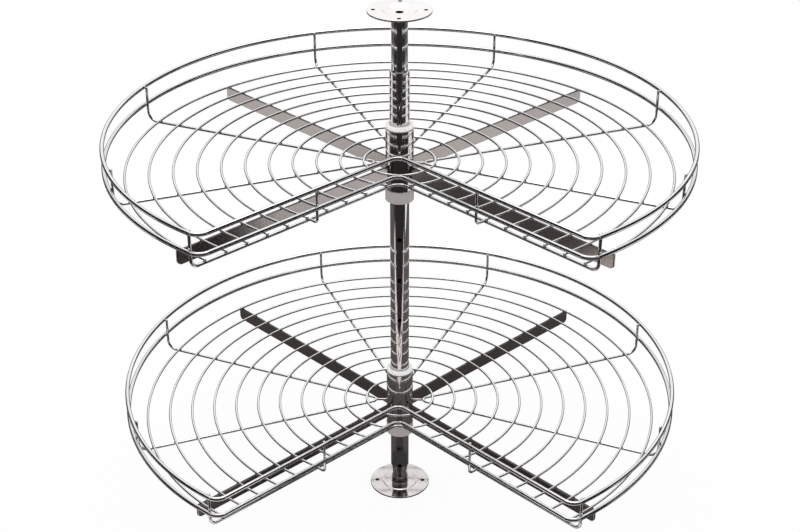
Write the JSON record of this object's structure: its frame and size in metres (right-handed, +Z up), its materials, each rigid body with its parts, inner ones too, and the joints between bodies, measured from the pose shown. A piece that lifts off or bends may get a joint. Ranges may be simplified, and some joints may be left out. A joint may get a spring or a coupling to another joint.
{
  "type": "corner cabinet carousel",
  "caption": "Revolving corner-cabinet carousel: three-quarter round chromed wire baskets that turn on a telescopic post between screw-down flanges.",
  "frame": {"origin": "on the post axis, on the underside of the bottom flange, where it stands on the cabinet floor", "axes": "+Z up the post, -Y out of the notch of the baskets towards the cabinet front, +X to the right seen from the front"},
  "size_m": [0.75, 0.6749, 0.7061],
  "materials": {
    "chrome": "polished chrome plate on round wire, tube and stamped flanges",
    "satin_chrome": "duller chrome plate on flat bar",
    "white_plastic": "white moulded plastic, lightly glossy",
    "grey_plastic": "warm light grey moulded plastic, matte",
    "dark_steel": "blackened steel screw"
  },
  "bodies": {
    "base": {"bottom_flange": "chrome", "post_outer_tube": "chrome", "lower_collar": "grey_plastic", "lower_collar_screw": "dark_steel", "upper_collar": "grey_plastic", "upper_collar_screw": "dark_steel"},
    "extension": {"post_inner_tube": "chrome", "top_flange": "chrome"},
    "lower_basket": {"lower_hub": "chrome", "lower_hub_bush": "white_plastic", "lower_arm_front_right": "satin_chrome", "lower_arm_rear_right": "satin_chrome", "lower_arm_rear_left": "satin_chrome", "lower_arm_front_left": "satin_chrome", "lower_top_rim": "chrome", "lower_middle_rim": "chrome", "lower_notch_edge_wire": "chrome", "lower_floor_ring_01": "chrome", "lower_floor_ring_02": "chrome", "lower_floor_ring_03": "chrome", "lower_floor_ring_04": "chrome", "lower_floor_ring_05": "chrome", "lower_floor_ring_06": "chrome", "lower_floor_ring_07": "chrome", "lower_floor_ring_08": "chrome", "lower_floor_ring_09": "chrome", "lower_floor_ring_10": "chrome", "lower_floor_ring_11": "chrome", "lower_radial_wire_right": "chrome", "lower_radial_wire_rear": "chrome", "lower_radial_wire_left": "chrome", "lower_leg_post_left": "chrome", "lower_leg_post_right": "chrome"},
    "upper_basket": {"upper_hub": "chrome", "upper_hub_bush": "white_plastic", "upper_arm_front_right": "satin_chrome", "upper_arm_rear_right": "satin_chrome", "upper_arm_rear_left": "satin_chrome", "upper_arm_front_left": "satin_chrome", "upper_top_rim": "chrome", "upper_middle_rim": "chrome", "upper_notch_edge_wire": "chrome", "upper_floor_ring_01": "chrome", "upper_floor_ring_02": "chrome", "upper_floor_ring_03": "chrome", "upper_floor_ring_04": "chrome", "upper_floor_ring_05": "chrome", "upper_floor_ring_06": "chrome", "upper_floor_ring_07": "chrome", "upper_floor_ring_08": "chrome", "upper_floor_ring_09": "chrome", "upper_floor_ring_10": "chrome", "upper_floor_ring_11": "chrome", "upper_radial_wire_right": "chrome", "upper_radial_wire_rear": "chrome", "upper_radial_wire_left": "chrome", "upper_leg_post_left": "chrome", "upper_leg_post_right": "chrome"}
  },
  "joints": [
    {"name": "lower_basket_spin", "type": "hinge", "parent": "base", "child": "lower_basket", "pos_m": [0, 0, 0.144], "axis": [0, 0, 1], "continuous": true},
    {"name": "upper_basket_spin", "type": "hinge", "parent": "base", "child": "upper_basket", "pos_m": [0, 0, 0.506], "axis": [0, 0, 1], "continuous": true},
    {"name": "post_extension", "type": "slide", "parent": "base", "child": "extension", "axis": [0, 0, 1], "range_m": [-0.05, 0.045]}
  ]
}
